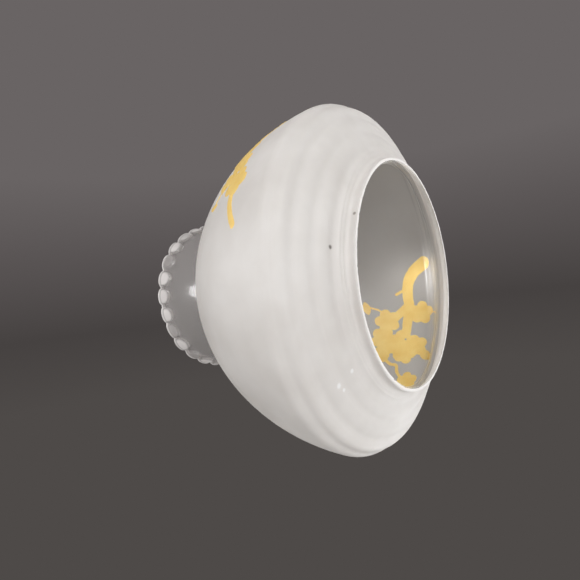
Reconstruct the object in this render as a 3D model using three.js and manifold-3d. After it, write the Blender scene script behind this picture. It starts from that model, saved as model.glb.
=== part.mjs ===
// Satin glass shade with a crimped collar, for the 4 inch gallery of an oil lamp.
// Millimetres, +Z up. The shade stands on its ground fitter rim, whose centre is the origin.
import * as THREE from "three";
import { mergeVertices } from "three/addons/utils/BufferGeometryUtils.js";
import Module from "manifold-3d";

// Driving dimensions
const RIM_RADIUS = 49.5; // outside of the fitter rim, which drops into a 4 inch gallery
const WALL = 2.4; // thickness of the blown wall
const SEAM = 0.3; // gap kept between two solids that touch
const RIM_CHAMFER = 0.35; // arris taken off both edges of the ground rim
const ROUND_STEPS = 60; // facets round the axis
const ARC_STEP = 14; // degrees of turn per facet on a curved stretch of wall
const LONG_STEP = 12; // most millimetres per facet on a curved stretch of wall

// The outside of the wall, walked upwards from the rim. A step is a straight { length } or an
// arc { radius, turn }. A positive turn, in degrees, leans the wall outwards.
const FITTER = [{ length: 2.1 }, { radius: 1.5, turn: 34.9 }];
const BODY = [
  { radius: 1.5, turn: 34.9 }, // the other half of the corner between fitter and shoulder
  { radius: 177, turn: -7.6 }, // shoulder
  { radius: 9, turn: -66.9 }, // widest ring
  { radius: 93.6, turn: -35.1 }, // side
  { radius: 60, turn: -8.3 }, // top of the side
  { length: 15 }, // slope down to the neck
  { radius: 9, turn: 44 }, // into the neck
];
const COLLAR = [
  { radius: 9, turn: 9 }, // narrowest point of the neck
  { radius: 78, turn: 14 }, // flare
  { length: 3.4 }, // crimped lip
];

// Crimps, pressed into the lip while it was hot
const CRIMPS = 26;
const CRIMP_STEPS = 4; // facets per crimp
const CRIMP_REACH = 6; // how far down from the lip they fade out
const CRIMP_DEPTH = 0.9; // in and out of the wall
const CRIMP_LIFT = 0.4; // up and down along the lip

// Gilding: raised, fired gold laid on the outside of the body
const GILT_THICKNESS = 0.25;
const PETALS = 5;
const PETAL_STEPS = 4;
const TWIG_STEPS = 7;
const PRISM_LENGTH = 100; // from the axis outwards, well past the glass

// The two sprays. Each is drawn flat, as seen from outside with its middle facing the eye: x runs
// round the shade, y is the height above the rim. "facing" is the angle of that middle about +Z.
// A twig is [width at its start, width at its end, points], a blossom [x, y, radius] and a leaf
// [x, y, length, width, angle].
const SPRAYS = [
  {
    facing: 112,
    motifs: {
      branch: {
        twigs: [
          [6.2, 4.4, [[-34.8, 21.4], [-30, 28], [-24, 32.2], [-16, 33], [-9, 31.6], [-1, 32.6], [7, 33.4]]],
          [1.8, 1.5, [[-19.6, 33.5], [-18.4, 36.6], [-16.8, 39.2]]],
          [3.6, 3.2, [[-11.5, 32], [-6.5, 35.6], [-2.5, 40]]],
        ],
      },
      low_blossom: { blossoms: [[-6, 24.6, 7]], twigs: [[1, 0.7, [[-6, 19.5], [-5.8, 17], [-4.8, 14.8]]]] },
      high_blossom: {
        blossoms: [[0, 44, 6.8]],
        twigs: [[1, 1, [[-5, 46.5], [-7.2, 50], [-8.2, 55]]]],
        leaves: [[-7.5, 56, 8.5, 4, -18]],
      },
      cluster: {
        blossoms: [[11, 46, 6.4], [18, 43.6, 6.2], [12.5, 36.5, 6.8], [19.5, 34.5, 6], [14, 27.6, 6.8]],
        leaves: [[18.8, 21.4, 9, 4.4, -58]],
      },
      bud: {
        blossoms: [[35.8, 28, 5.4]],
        twigs: [[1.8, 1.6, [[24.6, 41.6], [26.4, 39], [27, 35.8], [31, 34.6], [34, 32]]]],
      },
    },
  },
  {
    facing: -45,
    motifs: {
      branch: { twigs: [[3.6, 3, [[-34.6, 33.8], [-29.5, 36.8], [-24, 38.6], [-19, 39]]]] },
      low_blossom: { blossoms: [[-15.5, 38.6, 6.6]] },
      high_blossom: {
        blossoms: [[-10.6, 47.4, 5]],
        twigs: [[1, 0.9, [[-12.4, 48.4], [-16.6, 51.4], [-18.6, 55.6]]]],
      },
      cluster: {
        blossoms: [[-4.6, 40.6, 6], [2.8, 44.4, 6.4], [4.6, 36.4, 6]],
        leaves: [[9.4, 49.6, 8, 4, 40]],
      },
      bud: {
        blossoms: [[22.6, 35.4, 5]],
        twigs: [[1.8, 1.6, [[9.6, 38.6], [13, 36.6], [15.6, 39], [19, 37.6]]]],
      },
    },
  },
];

const SATIN_GLASS = new THREE.MeshStandardMaterial({ color: 0xd6d0cb, roughness: 0.55, metalness: 0 });
const CLEAR_GLASS = new THREE.MeshStandardMaterial({ color: 0xb4b0ae, roughness: 0.12, metalness: 0 });
const GROUND_GLASS = new THREE.MeshStandardMaterial({ color: 0xe2dcd8, roughness: 0.7, metalness: 0 });
const FIRED_GOLD = new THREE.MeshStandardMaterial({ color: 0xe3bd6c, roughness: 0.4, metalness: 1 });

const wasm = await Module();
wasm.setup();

const radians = THREE.MathUtils.degToRad;

// Walks the steps from a start { point, heading } and returns the points passed and the end.
function walk({ point, heading }, steps) {
  const points = [point.clone()];
  const at = point.clone();
  const advance = (distance, angle) => {
    at.x += distance * Math.sin(angle);
    at.y += distance * Math.cos(angle);
    points.push(at.clone());
  };
  for (const step of steps) {
    if (step.length !== undefined) {
      advance(step.length, heading);
      continue;
    }
    const turn = radians(step.turn);
    const byTurn = Math.abs(step.turn) / ARC_STEP;
    const byLength = (step.radius * Math.abs(turn)) / LONG_STEP;
    const facets = Math.ceil(Math.max(byTurn, byLength));
    const bend = turn / facets;
    for (let i = 0; i < facets; i++) {
      advance(2 * step.radius * Math.sin(Math.abs(bend) / 2), heading + bend / 2);
      heading += bend;
    }
  }
  return { points, end: { point: at, heading } };
}

// The same walk moved square to itself: outwards for a positive distance, inwards for a negative.
function offsetWalk({ point, heading }, steps, distance) {
  const side = new THREE.Vector2(Math.cos(heading), -Math.sin(heading)).multiplyScalar(distance);
  const moved = steps.map((step) =>
    step.length !== undefined ? step : { ...step, radius: step.radius - Math.sign(step.turn) * distance },
  );
  return walk({ point: point.clone().add(side), heading }, moved).points;
}

// A closed ring from the outer points and the inner points, both walked upwards.
function ring(outer, inner, roundSteps = ROUND_STEPS) {
  const profile = [...outer, ...[...inner].reverse(), outer[0].clone()];
  return new THREE.LatheGeometry(profile, roundSteps).rotateX(Math.PI / 2);
}

function toSolid(geometry) {
  const bare = geometry.clone().deleteAttribute("normal").deleteAttribute("uv");
  const merged = mergeVertices(bare, 1e-4);
  return new wasm.Manifold(
    new wasm.Mesh({
      numProp: 3,
      vertProperties: merged.attributes.position.array,
      triVerts: new Uint32Array(merged.index.array),
    }),
  );
}

function toGeometry(solid) {
  const { vertProperties, triVerts } = solid.getMesh();
  const geometry = new THREE.BufferGeometry();
  geometry.setAttribute("position", new THREE.BufferAttribute(vertProperties, 3));
  geometry.setIndex(new THREE.BufferAttribute(triVerts, 1));
  geometry.computeVertexNormals();
  return geometry;
}

function namedMesh(name, geometry, material) {
  const mesh = new THREE.Mesh(geometry, material);
  mesh.name = name;
  return mesh;
}

// The three zones of the wall follow each other, a seam apart.
const rimStart = { point: new THREE.Vector2(RIM_RADIUS, 0), heading: 0 };
const seam = [{ length: SEAM }];
const bodyStart = walk(walk(rimStart, FITTER).end, seam).end;
const collarStart = walk(walk(bodyStart, BODY).end, seam).end;

function fitterRim() {
  const outer = walk(rimStart, FITTER).points;
  const inner = offsetWalk(rimStart, FITTER, -WALL);
  outer[0].y = RIM_CHAMFER;
  inner[0].y = RIM_CHAMFER;
  outer.unshift(new THREE.Vector2(RIM_RADIUS - RIM_CHAMFER, 0));
  inner.unshift(new THREE.Vector2(RIM_RADIUS - WALL + RIM_CHAMFER, 0));
  return ring(outer, inner);
}

function satinBody() {
  return ring(walk(bodyStart, BODY).points, offsetWalk(bodyStart, BODY, -WALL));
}

// The collar is turned plain, then its lip is waved in and out, and a little up and down.
function crimpedCollar() {
  const outer = walk(collarStart, COLLAR).points;
  const lipHeight = outer.at(-1).y;
  const geometry = ring(outer, offsetWalk(collarStart, COLLAR, -WALL), CRIMPS * CRIMP_STEPS);
  const position = geometry.attributes.position;
  for (let i = 0; i < position.count; i++) {
    const [x, y, z] = [position.getX(i), position.getY(i), position.getZ(i)];
    const fade = THREE.MathUtils.smoothstep(z, lipHeight - CRIMP_REACH, lipHeight);
    const wave = fade * Math.cos(CRIMPS * Math.atan2(y, x));
    const stretch = 1 + (CRIMP_DEPTH * wave) / Math.hypot(x, y);
    position.setXYZ(i, x * stretch, y * stretch, z + CRIMP_LIFT * wave);
  }
  return geometry;
}

// Flat outlines of the gilding. "grow" fattens an outline all round, for cutting its neighbours.
function blossomShape([x, y, radius], grow) {
  const points = [];
  for (let i = 0; i < PETALS * PETAL_STEPS; i++) {
    const angle = (2 * Math.PI * i) / (PETALS * PETAL_STEPS);
    const reach = radius * (0.8 + 0.2 * Math.abs(Math.sin((PETALS * angle) / 2))) + grow;
    points.push(new THREE.Vector2(x + reach * Math.cos(angle), y + reach * Math.sin(angle)));
  }
  return new THREE.Shape(points);
}

function leafShape([x, y, length, width, angle], grow) {
  const half = length / 2 + grow;
  const bulge = width / 2 + grow;
  const centre = new THREE.Vector2();
  const place = (u, v) => new THREE.Vector2(u, v).rotateAround(centre, radians(angle)).add({ x, y });
  const rise = [0, 0.2, 0.5, 0.8].map((t) => place(half * (2 * t - 1), bulge * Math.sin(Math.PI * t)));
  const fall = [1, 0.8, 0.5, 0.2].map((t) => place(half * (2 * t - 1), -bulge * Math.sin(Math.PI * t)));
  return new THREE.Shape([...rise, ...fall]);
}

function twigShape([startWidth, endWidth, route], grow) {
  const curve = new THREE.SplineCurve(route.map(([x, y]) => new THREE.Vector2(x, y)));
  const sides = [[], []];
  for (let i = 0; i <= TWIG_STEPS; i++) {
    const t = i / TWIG_STEPS;
    const half = THREE.MathUtils.lerp(startWidth, endWidth, t) / 2 + grow;
    const along = curve.getTangent(t);
    const across = new THREE.Vector2(-along.y, along.x).multiplyScalar(half);
    const end = along.multiplyScalar(i === 0 ? -grow : i === TWIG_STEPS ? grow : 0);
    const middle = curve.getPoint(t).add(end);
    sides[0].push(middle.clone().sub(across));
    sides[1].unshift(middle.clone().add(across));
  }
  return new THREE.Shape([...sides[0], ...sides[1]]);
}

// One motif as a solid prism that stands square to its place on the shade.
function motifPrism({ blossoms = [], leaves = [], twigs = [] }, facing, grow) {
  const shapes = [
    ...blossoms.map((blossom) => blossomShape(blossom, grow)),
    ...leaves.map((leaf) => leafShape(leaf, grow)),
    ...twigs.map((twig) => twigShape(twig, grow)),
  ];
  const outward = new THREE.Vector3(Math.cos(radians(facing)), Math.sin(radians(facing)), 0);
  const up = new THREE.Vector3(0, 0, 1);
  const round = new THREE.Vector3().crossVectors(up, outward);
  const stand = new THREE.Matrix4().makeBasis(round, up, outward);
  const prisms = shapes.map((shape) => {
    const prism = new THREE.ExtrudeGeometry(shape, { depth: PRISM_LENGTH, bevelEnabled: false });
    return toSolid(prism.applyMatrix4(stand));
  });
  return prisms.reduce((whole, prism) => whole.add(prism));
}

// The layer of gold that the motifs are cut from, a seam clear of the glass.
const goldLayer = toSolid(
  ring(
    offsetWalk(bodyStart, BODY, SEAM + GILT_THICKNESS),
    offsetWalk(bodyStart, BODY, SEAM),
  ),
);

// Each motif of a spray, cut clear of the motifs that were laid before it.
function gilding({ facing, motifs }, number) {
  const group = new THREE.Group();
  let laid = null;
  for (const [name, motif] of Object.entries(motifs)) {
    let piece = goldLayer.intersect(motifPrism(motif, facing, 0));
    if (laid) piece = piece.subtract(laid);
    const cutter = motifPrism(motif, facing, SEAM);
    laid = laid ? laid.add(cutter) : cutter;
    group.add(namedMesh(`gilt_${name}_${number}`, toGeometry(piece), FIRED_GOLD));
  }
  return group;
}

const shade = new THREE.Group();
shade.name = "oil_lamp_shade";
shade.add(namedMesh("fitter_rim", fitterRim(), GROUND_GLASS));
shade.add(namedMesh("satin_body", satinBody(), SATIN_GLASS));
shade.add(namedMesh("crimped_collar", crimpedCollar(), CLEAR_GLASS));
SPRAYS.forEach((spray, index) => shade.add(gilding(spray, index + 1)));

export default shade;
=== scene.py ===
import math
import random

import bpy
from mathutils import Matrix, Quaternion, Vector, noise


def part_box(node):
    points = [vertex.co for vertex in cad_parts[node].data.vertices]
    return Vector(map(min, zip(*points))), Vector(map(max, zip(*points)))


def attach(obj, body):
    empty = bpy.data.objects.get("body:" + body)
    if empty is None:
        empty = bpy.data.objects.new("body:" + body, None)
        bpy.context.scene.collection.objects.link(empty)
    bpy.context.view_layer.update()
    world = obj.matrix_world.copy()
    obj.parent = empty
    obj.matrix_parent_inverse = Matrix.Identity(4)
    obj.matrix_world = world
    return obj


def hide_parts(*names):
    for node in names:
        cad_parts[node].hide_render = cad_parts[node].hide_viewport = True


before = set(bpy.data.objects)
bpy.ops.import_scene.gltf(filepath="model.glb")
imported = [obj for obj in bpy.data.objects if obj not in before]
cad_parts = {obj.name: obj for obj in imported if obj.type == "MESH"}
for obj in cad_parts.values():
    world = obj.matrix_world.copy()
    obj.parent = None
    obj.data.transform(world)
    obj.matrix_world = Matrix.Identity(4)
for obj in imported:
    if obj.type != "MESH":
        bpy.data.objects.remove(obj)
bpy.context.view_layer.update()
bpy.ops.object.select_all(action="DESELECT")  # the CAD nodes come in selected
print("frame loaded")

mm = 0.001


# camera, lights and floor

cameraPlace = {
    "location": (-1.6 * mm, -181.8 * mm, -70.6 * mm),
    "lookUp": 36.8,  # degrees above level, so it looks up into the fitter
    "roll": -95.9,  # the collar lies to the left
    "lens": 27.31,
}


def addCamera():
    rise = math.radians(cameraPlace["lookUp"])
    sight = Vector((0, math.cos(rise), math.sin(rise)))
    turn = sight.to_track_quat("-Z", "Y") @ Quaternion((0, 0, 1), math.radians(cameraPlace["roll"]))
    bpy.ops.object.camera_add(location=cameraPlace["location"], rotation=turn.to_euler())
    camera = bpy.context.object
    camera.name = "camera"
    camera.data.lens = cameraPlace["lens"]
    camera.data.sensor_width = 36
    camera.data.clip_start = 0.005
    bpy.context.scene.camera = camera


# bearing is round the shade from +X, rise is above level; distances and sizes in metres, power in watts
studioLights = {
    "rimSoftbox": {"bearing": -90, "rise": -85, "distance": 1.2, "size": 0.9, "power": 4.7},
    "frontSoftbox": {"bearing": -50, "rise": -30, "distance": 1.2, "size": 0.7, "power": 9.6},
    "frontFill": {"bearing": -130, "rise": -30, "distance": 1.2, "size": 0.7, "power": 2},
    "collarSoftbox": {"bearing": -79, "rise": 56, "distance": 0.9, "size": 0.45, "power": 1.7},
    "collarGlint": {"bearing": -80, "rise": 43, "distance": 0.9, "size": 0.2, "power": 1.9},
    "sideFill": {"bearing": 200, "rise": 0, "distance": 1.2, "size": 0.9, "power": 3.6},
    "backSoftbox": {"bearing": 90, "rise": -4, "distance": 1.2, "size": 1.8, "power": 13},
    "lowBackFill": {"bearing": 140, "rise": -20, "distance": 1.2, "size": 0.9, "power": 6.6},
}
floorLight = {"height": 1.8, "size": 2.4, "power": 15}
shadeMiddle = Vector((0, 0, 50 * mm))
neckGlow = {
    "target": (-2, 74, 25),  # in millimetres, on the far inner wall
    "rise": 45,
    "distance": 0.6,
    "spread": 3.4,  # degrees across the beam
    "lampRadius": 0.01,
    "power": 14,
}


def wayTowards(bearing, rise):
    # unit vector out from the axis, at a bearing round the shade and a rise above level, in radians
    level = math.cos(rise)
    return Vector((level * math.cos(bearing), level * math.sin(bearing), math.sin(rise)))


def addLights():
    for name, light in studioLights.items():
        way = wayTowards(math.radians(light["bearing"]), math.radians(light["rise"]))
        spot = shadeMiddle + way * light["distance"]
        turn = way.to_track_quat("Z", "Y").to_euler()
        bpy.ops.object.light_add(type="AREA", location=spot, rotation=turn)
        lamp = bpy.context.object
        lamp.name = name
        lamp.data.size = light["size"]
        lamp.data.energy = light["power"]
        lamp.visible_camera = False


def addNeckGlow():
    # a narrow lamp that shines down the neck and leaves a pool of light on the far wall
    rise = math.radians(neckGlow["rise"])
    way = Vector((0, -math.cos(rise), math.sin(rise)))
    spot = Vector(neckGlow["target"]) * mm + way * neckGlow["distance"]
    turn = way.to_track_quat("Z", "Y").to_euler()
    bpy.ops.object.light_add(type="SPOT", location=spot, rotation=turn)
    lamp = bpy.context.object
    lamp.name = "neckGlow"
    lamp.data.spot_size = math.radians(neckGlow["spread"])
    lamp.data.spot_blend = 1
    lamp.data.shadow_soft_size = neckGlow["lampRadius"]
    lamp.data.energy = neckGlow["power"]


def addFloorLight(floor):
    # lights the floor alone, so that it stays pale under a shade that is lit from the sides
    bpy.ops.object.light_add(type="AREA", location=(0, 0, floorLight["height"]))
    lamp = bpy.context.object
    lamp.name = "floorLight"
    lamp.data.size = floorLight["size"]
    lamp.data.energy = floorLight["power"]
    lamp.visible_camera = False
    lit = bpy.data.collections.new("lit by the floor light")
    lit.objects.link(floor)
    lamp.light_linking.receiver_collection = lit


def toLinear(hexColour):
    channels = [int(hexColour[i:i + 2], 16) / 255 for i in (1, 3, 5)]
    return [c / 12.92 if c <= 0.04045 else ((c + 0.055) / 1.055) ** 2.4 for c in channels] + [1]


def addNode(tree, kind, inputs=None, stops=(), **settings):
    # inputs are values or sockets to link; stops are a colour ramp's, as (position, colour)
    node = tree.nodes.new("ShaderNode" + kind)
    for name, value in settings.items():
        setattr(node, name, value)
    for name, value in (inputs or {}).items():
        if isinstance(value, bpy.types.NodeSocket):
            tree.links.new(value, node.inputs[name])
        else:
            node.inputs[name].default_value = value
    elements = node.color_ramp.elements if stops else ()
    for _ in stops[2:]:
        elements.new(0.5)
    for element, (position, colour) in zip(elements, stops):
        element.position = position
        element.color = toLinear(colour)
    return node


def newMaterial(name):
    material = bpy.data.materials.new(name)
    material.use_nodes = True
    material.node_tree.nodes.clear()
    return material


def setSurface(material, shader):
    addNode(material.node_tree, "OutputMaterial", {"Surface": shader})
    return material


def paleFloor():
    # painted studio floor; its underside is open, because the camera looks up through it
    material = newMaterial("matt floor paint")
    tree = material.node_tree
    side = addNode(tree, "NewGeometry")
    paint = addNode(tree, "BsdfDiffuse", {"Color": toLinear("#CFCBC7")})
    gone = addNode(tree, "BsdfTransparent")
    both = addNode(tree, "MixShader", {
        0: side.outputs["Backfacing"], 1: paint.outputs[0], 2: gone.outputs[0],
    })
    return setSurface(material, both.outputs[0])


def addFloor():
    bpy.ops.mesh.primitive_plane_add(size=8, location=(0, 0, 0))
    floor = bpy.context.object
    floor.name = "floor"
    floor.data.materials.append(paleFloor())
    floor.visible_diffuse = False  # it neither shades nor lights the shade, whose mouth it would close
    floor.visible_glossy = False
    floor.visible_shadow = False
    addFloorLight(floor)


def addWorld():
    # a grey backdrop that shades along X, which stands nearly upright for the rolled camera
    world = bpy.data.worlds.new("studio")
    world.use_nodes = True
    bpy.context.scene.world = world
    tree = world.node_tree
    way = addNode(tree, "SeparateXYZ", {"Vector": addNode(tree, "TexCoord").outputs["Generated"]})
    fall = addNode(tree, "MapRange", {"Value": way.outputs["X"], "From Min": -0.6, "From Max": 0.6})
    grey = addNode(tree, "ValToRGB", {"Fac": fall.outputs["Result"]}, stops=[
        (0.35, "#4E4A48"), (0.46, "#464241"), (0.6, "#5A5555"), (0.72, "#696464"),
    ])
    tree.links.new(grey.outputs["Color"], tree.nodes["Background"].inputs["Color"])
    bpy.context.scene.view_settings.view_transform = "Standard"


addCamera()
addLights()
addNeckGlow()
addFloor()
addWorld()
print("studio set")


# materials

def noiseScale(size):
    # how many grains of a noise fit in a metre, from their size in millimetres
    return 1 / (size * mm)


# small marks in the etched skin: place and radius in millimetres, with the colour left there
skinMarks = [
    ((11.4, -54.4, 6.1), 0.75, "#6E6660"),
    ((22.7, -44, 1.2), 0.6, "#8A827C"),
    ((-36.2, -52.5, 9.4), 1, "#FFFFFF"),
    ((-38.3, -49.8, 9.2), 0.7, "#FFFFFF"),
    ((-31.9, -47.8, 6.4), 0.8, "#FFFFFF"),
]
markEdge = (0.6, 1.3)  # of a mark's radius: it is whole inside the first and gone at the second


def markSkin(tree, place, colour):
    # lays each mark over the colour of the skin, with a soft edge
    for middle, radius, markColour in skinMarks:
        spot = tuple(value * mm for value in middle)
        away = addNode(tree, "VectorMath", {0: place, 1: spot}, operation="DISTANCE")
        cover = addNode(tree, "MapRange", {
            "Value": away.outputs["Value"],
            "From Min": radius * markEdge[0] * mm,
            "From Max": radius * markEdge[1] * mm,
            "To Min": 1.0,
            "To Max": 0.0,
        })
        marked = addNode(tree, "Mix", {
            0: cover.outputs["Result"], 6: colour, 7: toLinear(markColour),
        }, data_type="RGBA")
        colour = marked.outputs[2]
    return colour


etchedSkin = {
    "cloudSize": 22.22,
    "pitSize": 0.7143,  # the real etch pits are far finer and wouldn't show
    "pitDepth": 0.05,
    "insideShadeHeights": (6, 11),  # heights between which the inside is painted from pale to grey, as painted shade that deepens away from the mouth
    "throughShare": 0.24,  # of the light, which the skin scatters on to its other side
}


def acidEtchedGlass():
    # soda-lime glass etched in acid vapour: a white satin skin outside; seen from inside through the clear
    # wall it is painted grey as painted shade, pale by the rim and greyer further in
    material = newMaterial("acid-etched glass")
    tree = material.node_tree
    place = addNode(tree, "TexCoord").outputs["Object"]
    cloud = addNode(tree, "TexNoise", {
        "Vector": place, "Scale": noiseScale(etchedSkin["cloudSize"]), "Detail": 3, "Roughness": 0.5,
    })
    skinWhite = addNode(tree, "ValToRGB", {"Fac": cloud.outputs["Fac"]}, stops=[
        (0.3, "#E4E0DC"), (0.7, "#F0EDEA"),
    ])
    white = skinWhite.outputs["Color"]
    height = addNode(tree, "SeparateXYZ", {"Vector": place}).outputs["Z"]
    paleTo, greyFrom = (value * mm for value in etchedSkin["insideShadeHeights"])
    upWall = addNode(tree, "MapRange", {"Value": height, "From Min": paleTo, "From Max": greyFrom})
    # painted shade: the inside of the skin is pale by the rim and grey further up the wall
    insideShade = addNode(tree, "ValToRGB", {"Fac": upWall.outputs["Result"]}, stops=[
        (0, "#E8E3DE"), (1, "#9A9693"),
    ])
    behind = addNode(tree, "NewGeometry").outputs["Backfacing"]
    # seen from behind, the skin takes the painted shade in place of its white
    skinColour = addNode(tree, "Mix", {
        0: behind, 6: white, 7: insideShade.outputs["Color"],
    }, data_type="RGBA")
    grain = addNode(tree, "TexNoise", {
        "Vector": place, "Scale": noiseScale(etchedSkin["pitSize"]), "Detail": 2,
    })
    pits = addNode(tree, "Bump", {
        "Strength": 0.12, "Distance": etchedSkin["pitDepth"] * mm, "Height": grain.outputs["Fac"],
    })
    sheen = addNode(tree, "MapRange", {"Value": cloud.outputs["Fac"], "To Min": 0.46, "To Max": 0.58})
    skin = addNode(tree, "BsdfPrincipled", {
        "Base Color": markSkin(tree, place, skinColour.outputs[2]),
        "Roughness": sheen.outputs["Result"],
        "IOR": 1.5,
        "Normal": pits.outputs["Normal"],
    })
    throughLight = addNode(tree, "BsdfTranslucent", {"Color": white, "Normal": pits.outputs["Normal"]})
    both = addNode(tree, "MixShader", {
        0: etchedSkin["throughShare"], 1: skin.outputs[0], 2: throughLight.outputs[0],
    })
    return setSurface(material, both.outputs[0])


def smoothInside():
    # the blown inner face, left clear: the etched skin shows through it, under a soft gloss
    material = newMaterial("fire-polished glass")
    tree = material.node_tree
    fresnel = addNode(tree, "Fresnel", {"IOR": 1.5})
    # there is no gloss from behind, where Fresnel would take the skin for the inside of solid glass
    behind = addNode(tree, "NewGeometry").outputs["Backfacing"]
    front = addNode(tree, "Math", {0: 1.0, 1: behind}, operation="SUBTRACT")
    glance = addNode(tree, "Math", {0: fresnel.outputs[0], 1: front.outputs[0]}, operation="MULTIPLY")
    gloss = addNode(tree, "BsdfAnisotropic", {"Color": (1, 1, 1, 1), "Roughness": 0.36})
    clear = addNode(tree, "BsdfTransparent", {"Color": toLinear("#FDFDFC")})
    both = addNode(tree, "MixShader", {0: glance.outputs[0], 1: clear.outputs[0], 2: gloss.outputs[0]})
    return setSurface(material, both.outputs[0])


def hazyClearGlass():
    # clear soda-lime glass with a thin bloom left by the acid; on the pillow domes and along the lip the
    # milky white is painted thicker, as painted highlights
    material = newMaterial("pressed clear glass")
    tree = material.node_tree
    clear = addNode(tree, "BsdfPrincipled", {
        "Base Color": toLinear("#F4F3F2"),
        "Roughness": 0.16,
        "IOR": 1.5,
        "Transmission Weight": 1.0,
    })
    bloom = addNode(tree, "BsdfDiffuse", {"Color": toLinear("#D8D4D2")})
    # the bloom attribute holds the real haze plus the painted highlights on the crimps and the lip
    milk = addNode(tree, "Attribute", attribute_name="bloom")
    both = addNode(tree, "MixShader", {0: milk.outputs["Fac"], 1: clear.outputs[0], 2: bloom.outputs[0]})
    return setSurface(material, both.outputs[0])


def groundGlassEdge():
    # the rim is ground flat on a wheel, which leaves a bright matt edge
    material = newMaterial("ground glass edge")
    tree = material.node_tree
    place = addNode(tree, "TexCoord").outputs["Object"]
    # the wheel's grit, drawn at 0.6 mm where the real scratches are finer
    grit = addNode(tree, "TexNoise", {"Vector": place, "Scale": noiseScale(0.625), "Detail": 3})
    wheel = addNode(tree, "Bump", {"Strength": 0.4, "Distance": 0.1 * mm, "Height": grit.outputs["Fac"]})
    edge = addNode(tree, "BsdfPrincipled", {
        "Base Color": toLinear("#F3F0ED"), "Roughness": 0.6, "IOR": 1.5, "Normal": wheel.outputs["Normal"],
    })
    return setSurface(material, edge.outputs[0])


def firedGold():
    # burnished gold fired onto the glass: warm and satin, with the drag of the brush
    material = newMaterial("fired matt gold")
    tree = material.node_tree
    place = addNode(tree, "TexCoord").outputs["Object"]
    cloud = addNode(tree, "TexNoise", {
        "Vector": place, "Scale": noiseScale(6.25), "Detail": 4, "Roughness": 0.6,
    })
    tone = addNode(tree, "ValToRGB", {"Fac": cloud.outputs["Fac"]}, stops=[
        (0.3, "#F6CD70"), (0.75, "#FFE08C"),
    ])
    # the drag of the brush, drawn at 1 mm where its hairs leave finer lines
    drag = addNode(tree, "TexNoise", {"Vector": place, "Scale": noiseScale(1.111), "Detail": 2})
    brush = addNode(tree, "Bump", {"Strength": 0.25, "Distance": 0.1 * mm, "Height": drag.outputs["Fac"]})
    satin = addNode(tree, "MapRange", {"Value": cloud.outputs["Fac"], "To Min": 0.38, "To Max": 0.55})
    gold = addNode(tree, "BsdfPrincipled", {
        "Base Color": tone.outputs["Color"],
        "Metallic": 0.1,
        "Roughness": satin.outputs["Result"],
        "Normal": brush.outputs["Normal"],
    })
    return setSurface(material, gold.outputs[0])


# the glass: one blown and moulded wall from the ground rim to the crimped lip

glassShade = {
    "rimRadius": 49.5,
    "wall": 2.4,
    "rimWall": 1.9,  # the wall is thinner at the rim
    "rimWallUpTo": (0.5, 3),  # heights between which it comes to its full thickness
    "arris": 0.4,  # taken off both edges of the ground rim
    # the outside, walked up from the rim: straights (length,) and arcs (radius, degrees of turn outwards)
    "outline": [
        (2.1,), (1.5, 69.8), (177, -0.9), (177, -6.7),  # the rim and the ringed shoulder
        (9, -66.9), (93.6, -35.1), (60, -8.3), (15.3,),  # the widest edge, and the body drawn in to the neck
        (9, 53), (78, 11.5), (78, 2.5), (3.4,),  # the neck and the crimped collar
    ],
    # between the points of each step
    "spacing": [0.5, 0.35, 0.3, 0.9, 0.8, 2.8, 2.2, 2, 0.8, 1.3, 0.6, 0.5],
    "grooves": [5.0, 8.3, 11.7, 16.2],  # heights of the hollows between the moulded rings
    "grooveDepth": 0.75,
    "grooveReach": 2.1,
    "beads": [4.7, 6.1],  # way up the outside to two thin mould lines
    "beadHeight": 0.16,
    "beadReach": 0.42,
    "lipRise": 0.3,  # of the wall, how far the rounded lip stands up
    "lipSteps": 6,
    "weld": 0.01,  # points nearer than this are merged
    "bloom": 0.23,  # share of milkiness in the clear glass
    "smoothBelow": 50,  # degrees between faces
}
crimps = {
    "count": 26,
    "facets": 14,  # round each crimp
    "phase": -87.6,  # degrees, where one crimp is centred
    "worked": 8,  # how far down from the lip the glass is touched at all
    "pinchFade": (0.4, 6.0),  # below the lip, where a pinch is whole and where it has died away
    "pinch": 0.6,  # how far the lip is drawn in
    "middle": 2.4,  # of a pillow, below the lip
    "push": 1.25,  # how far a pillow stands out
    "arch": 0.3,  # how far the lip rises from a pinch to the top of a pillow
    "dip": 0.25,  # how far it is pressed down at a pinch
    "domeGlintBulge": (0.35, 0.75),  # shares of a pillow's dome between which its painted highlight sets in
    "milkyBelow": (0.6, 1.4),  # it sets in between these too, down from the lip
    # a painted highlight along the lip
    "lipGlint": 0.6,
    "lipGlintBelow": (0.2, 1),  # down from the lip, where its painted highlight is whole and where it is gone
    "seed": 26,
}
# each pillow draws its own between these
pillowLimits = {
    "swell": (0.75, 1.2),
    "width": (0.42, 0.5),  # half of it, as a share of the pitch
    "reach": (3, 3.8),  # down from its middle
    "shift": (-0.05, 0.05),  # along the lip, as a share of the pitch
    "lift": (-0.15, 0.1),  # of the lip over it
    # a painted highlight on the pillow's dome
    "milk": (0.1, 0.75),
}
rimWear = {
    "height": 0.5,  # only the ground edges are worn
    "grain": 0.07,  # spread of the fine wear
    "chipShare": 0.03,  # of the points, which lose a real chip
    "chip": (0.15, 0.4),
    "across": 0.7,  # share of the wear that goes into the wall
    "upwards": 0.5,  # share that lifts the edge
    "seed": 7,
}


def smoothStep(value, low, high):
    share = min(1, max(0, (value - low) / (high - low)))
    return share * share * (3 - 2 * share)


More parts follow.
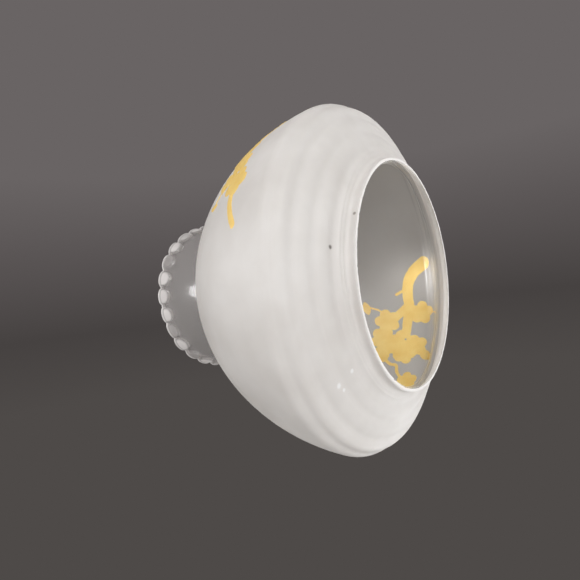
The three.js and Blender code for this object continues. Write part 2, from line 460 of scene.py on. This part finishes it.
def walkOutline(steps, spacing, radius, height):
    # each point is radius, height, heading (lean outwards from upright) and way walked so far
    points, heading, way = [(radius, height, 0.0, 0.0)], 0.0, 0.0
    for index, step in enumerate(steps):
        length = step[0] if len(step) == 1 else step[0] * math.radians(abs(step[1]))
        turn = 0 if len(step) == 1 else math.radians(step[1])
        count = max(1, round(length / spacing[index]))
        for _ in range(count):
            heading += turn / count / 2
            radius += length / count * math.sin(heading)
            height += length / count * math.cos(heading)
            heading += turn / count / 2
            way += length / count
            points.append((radius, height, heading, way))
    return points


def ringedOutline():
    shade = glassShade
    points = walkOutline(shade["outline"], shade["spacing"], shade["rimRadius"], 0)
    ways = [min(points, key=lambda point: abs(point[1] - groove))[3] for groove in shade["grooves"]]
    ringed = []
    for radius, height, heading, way in points:
        sink = sum(math.exp(-((way - groove) / shade["grooveReach"]) ** 2) for groove in ways)
        sink *= shade["grooveDepth"]
        bead = sum(math.exp(-((way - line) / shade["beadReach"]) ** 2) for line in shade["beads"])
        sink -= shade["beadHeight"] * bead
        ringed.append((radius - sink * math.cos(heading), height + sink * math.sin(heading), heading))
    return ringed


outline = ringedOutline()
lipHeight = outline[-1][1]


def glassAt(height):
    # radius and heading of the outside of the glass at a height
    for (r0, h0, lean0), (r1, h1, lean1) in zip(outline, outline[1:]):
        if h0 <= height <= h1 and h1 > h0:
            share = (height - h0) / (h1 - h0)
            return r0 + share * (r1 - r0), lean0 + share * (lean1 - lean0)
    return outline[-1][0], outline[-1][2]


def wallProfile():
    shade = glassShade
    wall, arris = shade["wall"], shade["arris"]
    outside = [(radius, height) for radius, height, _ in outline]
    inside = []
    for radius, height, lean in outline:
        thick = shade["rimWall"] + (wall - shade["rimWall"]) * smoothStep(height, *shade["rimWallUpTo"])
        inside.append((radius - thick * math.cos(lean), height + thick * math.sin(lean)))
    outside[0] = (outside[0][0], arris)
    inside[0] = (inside[0][0], arris)
    # the lip is rounded over by the fire
    lean = outline[-1][2]
    middle = Vector(outside[-1]).lerp(Vector(inside[-1]), 0.5)
    over = []
    for step in range(1, shade["lipSteps"]):
        angle = math.pi * step / shade["lipSteps"]
        across = Vector((math.cos(lean), -math.sin(lean))) * math.cos(angle) * wall / 2
        along = Vector((math.sin(lean), math.cos(lean))) * math.sin(angle) * wall * shade["lipRise"]
        over.append(tuple(middle + across + along))
    foot = [(inside[0][0] + arris, 0), (outside[0][0] - arris * 2, 0), (outside[0][0] - arris, 0)]
    return outside + over + inside[::-1] + foot


def spinWall(profile, facets):
    start, weld = profile[0], glassShade["weld"] * mm
    bpy.ops.mesh.primitive_plane_add(size=mm, location=(start[0] * mm, 0, start[1] * mm))
    bpy.ops.object.transform_apply(location=True)
    bpy.ops.object.mode_set(mode="EDIT")
    bpy.ops.mesh.merge(type="CENTER")
    for (r0, h0), (r1, h1) in zip(profile, profile[1:] + profile[:1]):
        bpy.ops.mesh.extrude_vertices_move(
            TRANSFORM_OT_translate={"value": ((r1 - r0) * mm, 0, (h1 - h0) * mm)}
        )
    bpy.ops.mesh.select_all(action="SELECT")
    bpy.ops.mesh.remove_doubles(threshold=weld)
    bpy.ops.mesh.spin(steps=facets, angle=2 * math.pi, center=(0, 0, 0), axis=(0, 0, 1))
    bpy.ops.mesh.select_all(action="SELECT")
    bpy.ops.mesh.remove_doubles(threshold=weld)
    bpy.ops.mesh.normals_make_consistent(inside=False)
    bpy.ops.object.mode_set(mode="OBJECT")
    return bpy.context.object


def crimpLip(wall):
    # a pillow pressed out between two pinches, all round the lip, no two quite alike
    pitch = 2 * math.pi / crimps["count"]
    draw = random.Random(crimps["seed"])
    pillows = [
        {name: draw.uniform(*limits) for name, limits in pillowLimits.items()}
        for _ in range(crimps["count"])
    ]
    bloom = wall.data.attributes.new("bloom", "FLOAT", "POINT")
    for vertex in wall.data.vertices:
        x, y, z = vertex.co / mm
        below = lipHeight - z
        milk = glassShade["bloom"]
        if below < crimps["worked"]:
            turn = (math.atan2(y, x) - math.radians(crimps["phase"])) / pitch
            pillow = pillows[round(turn) % crimps["count"]]
            across = (turn - round(turn) - pillow["shift"]) / pillow["width"]
            down = (below - crimps["middle"]) / pillow["reach"]
            fade = 1 - smoothStep(below, *crimps["pinchFade"])
            bulge = max(0, 1 - across**2 - max(0, down) ** 2) ** 0.5
            push = crimps["push"] * pillow["swell"] * bulge - crimps["pinch"] * fade
            stretch = 1 + push / math.hypot(x, y)
            lift = (crimps["arch"] * (1 - across**2) - crimps["dip"] + pillow["lift"]) * fade
            vertex.co = Vector((x * stretch, y * stretch, z + lift)) * mm
            # painted highlights: milky white laid on the pillow domes and along the lip, over the real bloom
            milky = smoothStep(bulge, *crimps["domeGlintBulge"])
            milk += pillow["milk"] * milky * smoothStep(below, *crimps["milkyBelow"])
            milk += crimps["lipGlint"] * (1 - smoothStep(below, *crimps["lipGlintBelow"]))
        bloom.data[vertex.index].value = milk


def wearRim(wall):
    # tiny chips along both edges of the ground rim
    draw = random.Random(rimWear["seed"])
    middle = (glassShade["rimRadius"] - glassShade["wall"] / 2) * mm
    for vertex in wall.data.vertices:
        if vertex.co.z > rimWear["height"] * mm:
            continue
        chip = max(0, draw.gauss(0, rimWear["grain"]))
        if draw.random() < rimWear["chipShare"]:
            chip += draw.uniform(*rimWear["chip"])
        flat = Vector((vertex.co.x, vertex.co.y, 0))
        outwards = 1 if flat.length > middle else -1
        vertex.co -= flat.normalized() * outwards * chip * rimWear["across"] * mm
        vertex.co.z += chip * rimWear["upwards"] * mm


def paintZones(wall):
    # inside, outside and ends of the wall each take their own finish
    finishes = [acidEtchedGlass(), smoothInside(), hazyClearGlass(), groundGlassEdge()]
    etched, smooth, clear, ground = range(len(finishes))
    for finish in finishes:
        wall.data.materials.append(finish)
    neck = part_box("crimped_collar")[0][2]
    for face in wall.data.polygons:
        middle = face.center
        outwards = face.normal.x * middle.x + face.normal.y * middle.y
        if middle.z > neck:
            face.material_index = clear
        elif face.normal.z < -0.9 and middle.z < 0.2 * mm:  # the flat foot of the wall
            face.material_index = ground
        else:
            face.material_index = etched if outwards > 0 else smooth


def makeGlass():
    wall = spinWall(wallProfile(), crimps["count"] * crimps["facets"])
    wall.name = wall.data.name = "blown_glass_shade"
    crimpLip(wall)
    paintZones(wall)
    wearRim(wall)
    bpy.ops.object.shade_smooth_by_angle(angle=math.radians(glassShade["smoothBelow"]))
    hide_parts("fitter_rim", "satin_body", "crimped_collar")
    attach(wall, "root")
    print("glass made:", len(wall.data.polygons), "faces")


makeGlass()

# the gilding: two sprays of prunus in raised gold, fired onto the etched glass

# Each spray is drawn flat, in millimetres: x runs round the shade from the bearing that it faces, and y is
# the height. Blossoms are (x, y, radius, turn), leaves (x, y, length, width, turn) and twigs (first width,
# last width, route), and gaps (x, y, radius) are bare spots between the strokes. What is listed first lies
# on top.
giltSprays = {
    1: {
        "facing": 112,
        "motifs": {
            "cluster": {
                "blossoms": [
                    (14.4, 27, 7, 20), (19.6, 32.4, 6.2, 50), (18.6, 43.6, 6.8, 5), (12.2, 35.6, 7.4, 35),
                    (10.6, 45.4, 7.4, 60), (18, 37.4, 4.8, 0),
                ],
                "leaves": [(19.6, 20.8, 10, 5.4, -55)],
                "gaps": [(10.5, 33, 0.6), (22.8, 39.6, 1.5), (20.6, 39.8, 1)],
            },
            "high_blossom": {
                "blossoms": [(-0.4, 44, 7.4, 15)],
                "twigs": [(1.2, 1, [(-5, 46.5), (-7.2, 50), (-8.2, 55)])],
                "leaves": [(-7.5, 56, 8.5, 4.4, -18)],
            },
            "low_blossom": {
                "blossoms": [(-6, 24.6, 7, 40)],
                "twigs": [(1, 0.7, [(-6, 19.5), (-5.8, 17), (-4.8, 14.8)])],
            },
            "bud": {
                "blossoms": [(35.8, 28, 5.4, 25)],
                "twigs": [(1.8, 1.6, [(24.6, 41.6), (26.4, 39), (27, 35.8), (31, 34.6), (34, 32)])],
            },
            "branch": {
                "twigs": [
                    (6.8, 5.2, [
                        (-34.6, 21.6), (-30, 28), (-24, 31.8), (-16, 32.6), (-9, 31.6), (-1, 32.6), (7, 33),
                    ]),
                    (1.8, 1.5, [(-19.6, 33.5), (-18.4, 36.6), (-16.8, 39.2)]),
                    (4.8, 5, [(-11, 32), (-6.5, 36), (-2.5, 40)]),
                ],
            },
        },
    },
    2: {
        "facing": -45,
        "motifs": {
            "cluster": {
                "blossoms": [(2.8, 45, 6.2, 30), (-4.6, 41.2, 6, 10), (5.4, 41, 5, 55)],
                "leaves": [(9.4, 49.6, 8, 4, 40)],
            },
            "high_blossom": {
                "blossoms": [(-10.6, 47.4, 5, 20)],
                "twigs": [(1, 0.9, [(-12.4, 48.4), (-16.6, 51.4), (-18.6, 55.6)])],
                "leaves": [(-18.6, 53.4, 7, 3, 75)],
            },
            "low_blossom": {"blossoms": [(-15.5, 38.6, 6.6, 45)]},
            "bud": {
                "blossoms": [(22.6, 35.4, 5, 15)],
                "twigs": [(1.8, 1.6, [(9.6, 38.6), (13, 36.6), (15.6, 39), (19, 37.6)])],
            },
            "branch": {"twigs": [(2.6, 3, [(-34.4, 33.8), (-29.5, 36.6), (-24, 38.6), (-19, 39)])]},
        },
    },
}
giltSheet = {
    "spacing": 0.34,  # of the grid that a motif is cut from
    "margin": 1,  # of the grid round the motif
    "keep": 0.6,  # of the spacing, how far outside the outline a face may reach
    "nudge": 0.05,  # the step that finds which way the outline lies
    "easeSteps": 3,
    "easeLimit": 0.25,  # the furthest that a cut edge moves in one step
    "leastSlope": 0.2,  # flatter than this, the way to the outline isn't known
}
giltFinish = {
    "sunk": 0.12,  # how far the gold has melted into the glass
    "proud": 0.04,  # how far the bare sheet stands over the glass
    "film": 0.16,  # how far the plain gold rises over that
    "shoulder": 0.5,  # how far in from a stroke's edge it comes to its full height
    "edgeFade": (-0.05, 0.4),  # the same at the edge of the whole motif
    "underEdge": 0.4,  # share of a stroke's height that is left under the edge of the next one
    "ragged": 0.2,  # how far the brushed edge wanders
    "wander": 2.1,  # the length of one such wave
    "lap": 0.25,  # how far a lower motif runs under the one on top
    "smoothBelow": 60,  # degrees between faces
}
# shares are of the blossom's radius, and dome, crease and boss are heights over the plain gold
giltBlossom = {
    "petals": 5,
    "petalReach": 0.57,  # out to a petal's middle
    "petalSize": 0.43,
    "eye": 0.45,  # the round between the petals is filled out to here
    "dome": 0.1,
    "crease": 0.09,  # between two petals
    "creaseWidth": 0.5,  # in millimetres
    "creaseFrom": (0.2, 0.5),  # it sets in between these
    "boss": 0.12,  # at the middle
    "bossFade": (0.1, 0.24),  # it dies away between these
}
giltLeaf = {
    "pointed": 0.8,  # below 1 the leaf stays broad nearer to its tips
    "slant": 0.9,  # the way to the slanting outline, as a share of the way straight across
    "leastHalf": 0.1,  # keeps the dome in bounds at the tips
    "dome": 0.05,
    "rib": 0.07,
    "ribWidth": 0.35,
}
giltTwig = {"dome": 0.1, "stepsPerLeg": 6}
farOff = 1.5  # strokes further off than this don't shape an outline


def smoothRoute(route):
    # a curve through the points of a twig
    ends = [2 * Vector(route[0]) - Vector(route[1])] + [Vector(p) for p in route]
    ends.append(2 * Vector(route[-1]) - Vector(route[-2]))
    curve = []
    for a, b, c, d in zip(ends, ends[1:], ends[2:], ends[3:]):
        square, cube = 2 * a - 5 * b + 4 * c - d, 3 * b - a - 3 * c + d
        for step in range(giltTwig["stepsPerLeg"]):
            t = step / giltTwig["stepsPerLeg"]
            curve.append(0.5 * (2 * b + (c - a) * t + square * t**2 + cube * t**3))
    return curve + [Vector(route[-1])]


def petalMiddles(blossom):
    x, y, radius, turn = blossom
    reach = radius * giltBlossom["petalReach"]
    for petal in range(giltBlossom["petals"]):
        angle = math.radians(turn) + 2 * math.pi * petal / giltBlossom["petals"]
        yield Vector((x + reach * math.cos(angle), y + reach * math.sin(angle)))


def blossomStroke(blossom):
    x, y, radius, _ = blossom
    shape, middle, petals = giltBlossom, Vector((x, y)), list(petalMiddles(blossom))
    size = radius * shape["petalSize"]
    creaseFrom, creaseTo = (radius * share for share in shape["creaseFrom"])
    bossFrom, bossTo = (radius * share for share in shape["bossFade"])

    def gapAndRelief(point):
        away = sorted((point - petal).length for petal in petals)
        fromMiddle = (point - middle).length
        gap = min(away[0] - size, fromMiddle - radius * shape["eye"])
        dome = shape["dome"] * max(0, 1 - (away[0] / size) ** 2)
        crease = shape["crease"] * math.exp(-((away[1] - away[0]) / shape["creaseWidth"]) ** 2)
        crease *= smoothStep(fromMiddle, creaseFrom, creaseTo)
        boss = shape["boss"] * (1 - smoothStep(fromMiddle, bossFrom, bossTo))
        return gap, dome + boss - crease

    return gapAndRelief, middle, radius * 1.05


def leafStroke(leaf):
    x, y, length, width, turn = leaf
    middle, along = Vector((x, y)), Vector((math.cos(math.radians(turn)), math.sin(math.radians(turn))))

    def gapAndRelief(point):
        u = (point - middle).dot(along)
        v = abs((point.x - middle.x) * along.y - (point.y - middle.y) * along.x)
        if abs(u) >= length / 2:
            return math.hypot(abs(u) - length / 2, v), 0
        half = width / 2 * math.cos(math.pi * u / length) ** giltLeaf["pointed"]
        rib = giltLeaf["rib"] * math.exp(-((v / giltLeaf["ribWidth"]) ** 2))
        dome = giltLeaf["dome"] * (1 - v / max(half, giltLeaf["leastHalf"]))
        return (v - half) * giltLeaf["slant"], dome + rib

    return gapAndRelief, middle, length / 2


def twigStroke(twig):
    first, last, route = twig
    curve = smoothRoute(route)
    widths = [first + (last - first) * i / (len(curve) - 1) for i in range(len(curve))]

    def gapAndRelief(point):
        best, half = 1e9, 1
        for a, b, width in zip(curve, curve[1:], widths):
            step = b - a
            share = min(1, max(0, (point - a).dot(step) / step.length_squared))
            away = (point - a - step * share).length - width / 2
            if away < best:
                best, half = away, width / 2
        if best >= 0:
            return best, 0
        return best, giltTwig["dome"] * math.sqrt(max(0, 1 - (1 + best / half) ** 2))

    middle = sum(curve, Vector((0, 0))) / len(curve)
    return gapAndRelief, middle, max((p - middle).length for p in curve) + max(first, last)


def motifStrokes(motif):
    # from the bottom layer up, so that blossoms lie over leaves and twigs
    strokes = [twigStroke(twig) for twig in motif.get("twigs", [])]
    strokes += [leafStroke(leaf) for leaf in motif.get("leaves", [])]
    return strokes + [blossomStroke(blossom) for blossom in reversed(motif.get("blossoms", []))]


def unionGap(strokes, point):
    # how far a point is outside the nearest stroke; strokes that are far off aren't worked out
    best = farOff + 0.5  # stands for anything further off
    for stroke, middle, reach in strokes:
        atLeast = (point - middle).length - reach
        if atLeast < min(best, farOff):
            best = min(best, stroke(point)[0])
    return best


def motifSurface(motif, onTop):
    # how far a point is outside the motif's outline, and how high the gold stands there
    strokes = motifStrokes(motif)

    def outlineGap(point):
        wave = Vector((point.x / giltFinish["wander"], point.y / giltFinish["wander"], 0))
        rag = giltFinish["ragged"] * noise.noise(wave)
        best = unionGap(strokes, point) + rag
        for x, y, radius in motif.get("gaps", []):
            best = max(best, radius - (point - Vector((x, y))).length)
        for upper in onTop:
            best = max(best, -(unionGap(upper, point) + rag + giltFinish["lap"]))
        return best

    def heightAt(point):
        height = 0
        for stroke, middle, reach in strokes:
            if (point - middle).length > reach:
                continue
            gap, relief = stroke(point)
            if gap < 0:
                edge = smoothStep(-gap, 0, giltFinish["shoulder"])
                covered = height * giltFinish["underEdge"] * (1 - edge)
                height = covered + edge * (giltFinish["film"] + relief)
        return height

    return outlineGap, heightAt, strokes


def edgeVertices(mesh):
    # the edges that only one face uses are the outline of the sheet
    uses = {}
    for face in mesh.polygons:
        for key in face.edge_keys:
            uses[key] = uses.get(key, 0) + 1
    return {index for key, count in uses.items() if count == 1 for index in key}


def cutSheet(name, outlineGap, strokes):
    margin = Vector((giltSheet["margin"], giltSheet["margin"]))
    low = Vector([min(middle[axis] - reach for _, middle, reach in strokes) for axis in (0, 1)]) - margin
    high = Vector([max(middle[axis] + reach for _, middle, reach in strokes) for axis in (0, 1)]) + margin
    size, spacing = high - low, giltSheet["spacing"]
    bpy.ops.mesh.primitive_grid_add(
        x_subdivisions=math.ceil(size.x / spacing),
        y_subdivisions=math.ceil(size.y / spacing),
        size=1,
        location=((low.x + high.x) / 2, (low.y + high.y) / 2, 0),
    )
    sheet = bpy.context.object
    sheet.name = sheet.data.name = name
    sheet.scale = (size.x, size.y, 1)
    bpy.ops.object.transform_apply(location=True, rotation=True, scale=True)
    mesh = sheet.data
    gaps = [outlineGap(vertex.co.xy) for vertex in mesh.vertices]
    bpy.ops.object.mode_set(mode="EDIT")
    bpy.ops.mesh.select_all(action="DESELECT")
    bpy.ops.mesh.select_mode(type="FACE")
    bpy.ops.object.mode_set(mode="OBJECT")
    for face in mesh.polygons:
        face.select = max(gaps[index] for index in face.vertices) > spacing * giltSheet["keep"]
    bpy.ops.object.mode_set(mode="EDIT")
    bpy.ops.mesh.delete(type="FACE")
    bpy.ops.mesh.select_all(action="SELECT")
    bpy.ops.mesh.delete_loose()
    bpy.ops.object.mode_set(mode="OBJECT")
    # the cut edge is eased onto the outline
    nudge, limit = giltSheet["nudge"], giltSheet["easeLimit"]
    for index in edgeVertices(mesh):
        point = mesh.vertices[index].co.xy
        for _ in range(giltSheet["easeSteps"]):
            gap = outlineGap(point)
            acrossGap = outlineGap(point + Vector((nudge, 0))) - gap
            upGap = outlineGap(point + Vector((0, nudge))) - gap
            slope = Vector((acrossGap, upGap)) / nudge
            if slope.length < giltSheet["leastSlope"]:
                break
            point -= slope.normalized() * max(-limit, min(limit, gap))
        mesh.vertices[index].co.xy = point
    return sheet


def layOnGlass(sheet, heightAt, outlineGap, facing):
    # bends the flat sheet round the glass, gives it its thickness and then its relief
    mesh, sunk = sheet.data, giltFinish["sunk"]
    outwards, heights = [], []
    for vertex in mesh.vertices:
        point = vertex.co.xy
        radius, lean = glassAt(point.y)
        bearing = math.radians(facing) + math.asin(point.x / radius)
        way = wayTowards(bearing, -lean)
        outwards.append(way)
        heights.append(heightAt(point) * smoothStep(-outlineGap(point), *giltFinish["edgeFade"]))
        place = Vector((radius * math.cos(bearing), radius * math.sin(bearing), point.y))
        vertex.co = (place - way * sunk) * mm
    thick = sheet.modifiers.new("thickness", "SOLIDIFY")
    thick.thickness = (sunk + giltFinish["proud"]) * mm
    thick.offset = 1
    bpy.ops.object.modifier_apply(modifier=thick.name)
    # Solidify keeps the outer skin first and puts the inner one after it
    for index, (way, height) in enumerate(zip(outwards, heights)):
        mesh.vertices[index].co += way * height * mm


def makeGilding(gold):
    for number, spray in giltSprays.items():
        onTop = []
        for motifName, motif in spray["motifs"].items():
            outlineGap, heightAt, strokes = motifSurface(motif, list(onTop))
            piece = cutSheet(f"gold_{motifName}_{number}", outlineGap, strokes)
            layOnGlass(piece, heightAt, outlineGap, spray["facing"])
            onTop.append(strokes)
            piece.data.materials.append(gold)
            bpy.ops.object.shade_smooth_by_angle(angle=math.radians(giltFinish["smoothBelow"]))
            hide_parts(f"gilt_{motifName}_{number}")
            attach(piece, "root")
        print("gilding laid:", number)


makeGilding(firedGold())
